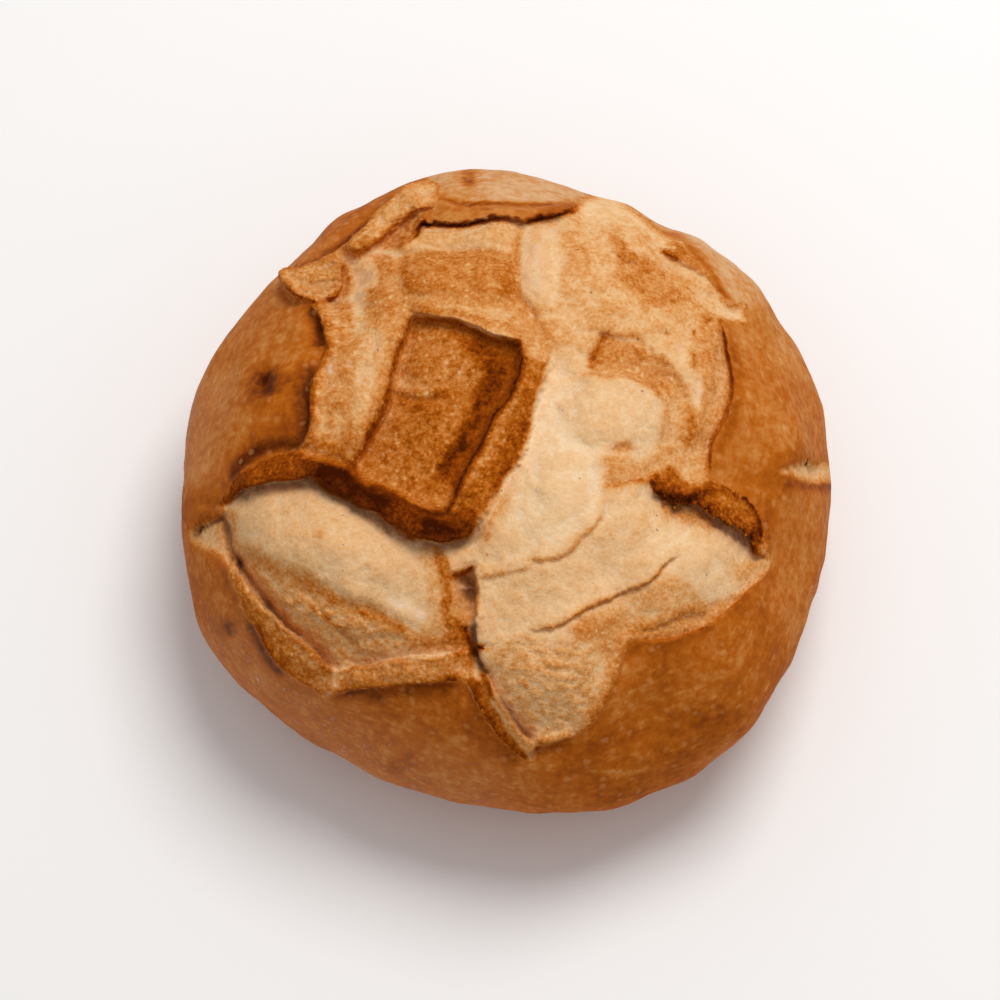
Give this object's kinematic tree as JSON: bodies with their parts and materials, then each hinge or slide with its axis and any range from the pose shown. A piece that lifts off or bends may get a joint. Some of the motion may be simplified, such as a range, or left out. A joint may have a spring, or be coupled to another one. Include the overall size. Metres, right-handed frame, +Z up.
{
  "type": "italian bread",
  "caption": "Round crusty Italian white loaf, scored in a grid and torn open along the cuts, with a flat base to stand on.",
  "frame": {"origin": "middle of the flat base", "axes": "+Z up out of the base; +X to the right and +Y away from somebody who looks at the scored side from the front, as in the picture"},
  "size_m": [0.2014, 0.209, 0.1053],
  "materials": {
    "baked_crust": "uneven browned wheat crust, matte to faintly glossy, with pale torn crumb and nearly black lips along the cuts"
  },
  "bodies": {
    "root": {"loaf": "baked_crust"}
  },
  "joints": []
}
